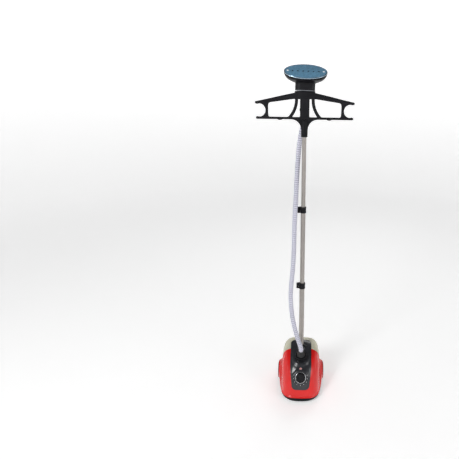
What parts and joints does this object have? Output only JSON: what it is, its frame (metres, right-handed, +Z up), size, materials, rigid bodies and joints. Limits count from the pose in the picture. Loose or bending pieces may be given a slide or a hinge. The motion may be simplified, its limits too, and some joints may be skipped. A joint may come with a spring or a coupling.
{
  "type": "garment steamer",
  "caption": "Upright garment steamer: wheeled boiler base with removable water tank and dial, telescopic pole, hanger bar with open hooks, braided hose and steam head.",
  "frame": {"origin": "on the floor under the middle of the object, measured without the hose", "axes": "+Z up along the pole, -Y to the front where the dial is, +X to the right of the base as its user sees it"},
  "size_m": [0.412, 0.25, 1.5587],
  "materials": {
    "red_shell": "glossy moulded ABS",
    "graphite": "glossy dark graphite ABS",
    "tank_plastic": "translucent cream polypropylene",
    "black_plastic": "fine textured black ABS",
    "black_gloss": "semi-gloss black plastic",
    "tyre": "black rubber",
    "rubber": "matt rubber",
    "tube": "warm grey brushed tube",
    "steel": "zinc plated steel",
    "silver": "silver ring",
    "cast": "die-cast aluminium",
    "heater": "sheathed element",
    "silicone": "silicone",
    "seal": "red silicone",
    "nylon": "natural nylon",
    "wire": "insulated wire",
    "lamp": "translucent pink lens",
    "plate_blue": "blue anodised plate",
    "plate_edge": "bright bevelled edge",
    "braid": "white braided sleeve",
    "ring_grey": "grey plastic"
  },
  "bodies": {
    "base": {"base_tray": "black_plastic", "body_shell": "red_shell", "control_panel": "graphite", "tank_bay": "red_shell", "wheel_axle": "steel", "axle_caps": "steel", "front_feet": "rubber", "base_screws": "steel", "boiler_body": "cast", "boiler_gasket": "seal", "boiler_lid": "cast", "boiler_screws": "steel", "heating_element": "heater", "thermostat": "nylon", "thermal_fuse": "nylon", "valve_well": "black_plastic", "water_tube": "silicone", "steam_pipe": "silicone", "hose_connector": "black_gloss", "hose_cuff": "rubber", "pole_socket": "graphite", "pole_foot": "black_plastic", "dial_bezel": "silver", "indicator_lamp": "lamp", "steam_regulator": "black_plastic", "cord_gland": "rubber", "wiring": "wire", "pole_lower": "tube", "bush_lower": "nylon", "clamp_lower": "black_plastic", "clamp_pin_lower": "steel", "steam_hose": "braid"},
    "wheel_left": {"tyre_left": "tyre", "rim_left": "red_shell"},
    "wheel_right": {"tyre_right": "tyre", "rim_right": "red_shell"},
    "dial": {"dial_knob": "black_gloss", "dial_shaft": "steel"},
    "tank": {"water_tank": "tank_plastic", "tank_cover": "graphite", "tank_cap": "black_plastic", "valve_plunger": "nylon"},
    "nut": {"hose_nut": "black_plastic"},
    "lock_ring": {"pole_lock_ring": "black_plastic"},
    "lever_low": {"lever_lower": "black_plastic"},
    "middle": {"pole_middle": "tube", "bush_upper": "nylon", "clamp_upper": "black_plastic", "clamp_pin_upper": "steel"},
    "lever_high": {"lever_upper": "black_plastic"},
    "upper": {"pole_upper": "tube", "hanger_frame": "black_plastic", "cradle_clip": "black_plastic"},
    "handset": {"head_shell": "black_gloss", "steam_plate": "plate_blue", "plate_rim": "plate_edge", "plate_studs": "steel", "neck_ring": "ring_grey", "handle_grip": "black_plastic", "tail_cuff": "rubber"}
  },
  "joints": [
    {"name": "wheel_left_spin", "type": "hinge", "parent": "base", "child": "wheel_left", "pos_m": [-0.11, 0.073, 0.042], "axis": [1, 0, 0], "continuous": true},
    {"name": "wheel_right_spin", "type": "hinge", "parent": "base", "child": "wheel_right", "pos_m": [0.11, 0.073, 0.042], "axis": [1, 0, 0], "continuous": true},
    {"name": "dial_turn", "type": "hinge", "parent": "base", "child": "dial", "pos_m": [0, -0.09645, 0.13], "axis": [0, -0.848, 0.5299], "range_deg": [-270, 0]},
    {"name": "tank_lift", "type": "slide", "parent": "base", "child": "tank", "axis": [0, 0, 1], "range_m": [0, 0.12]},
    {"name": "nut_turn", "type": "hinge", "parent": "base", "child": "nut", "pos_m": [0, -0.024, 0.194], "axis": [0, -0.4226, 0.9063], "range_deg": [0, 60]},
    {"name": "lock_ring_turn", "type": "hinge", "parent": "base", "child": "lock_ring", "pos_m": [0, 0.027, 0.22], "axis": [0, 0, 1], "range_deg": [0, 90]},
    {"name": "lever_low_flip", "type": "hinge", "parent": "base", "child": "lever_low", "pos_m": [-0.022, 0.027, 0.574], "axis": [0, 0, 1], "range_deg": [0, 100]},
    {"name": "pole_middle_slide", "type": "slide", "parent": "base", "child": "middle", "axis": [0, 0, 1], "range_m": [-0.3, 0], "deforming": ["steam_hose"]},
    {"name": "lever_high_flip", "type": "hinge", "parent": "middle", "child": "lever_high", "pos_m": [-0.0205, 0.027, 0.954], "axis": [0, 0, 1], "range_deg": [0, 100]},
    {"name": "pole_upper_slide", "type": "slide", "parent": "middle", "child": "upper", "axis": [0, 0, 1], "range_m": [-0.3, 0]},
    {"name": "handset_lift", "type": "slide", "parent": "upper", "child": "handset", "axis": [0.0262, 0, 0.9997], "range_m": [0, 0.06]}
  ],
  "couplings": [
    {"joint": "pole_upper_slide", "follows": "pole_middle_slide", "ratio": 1}
  ]
}
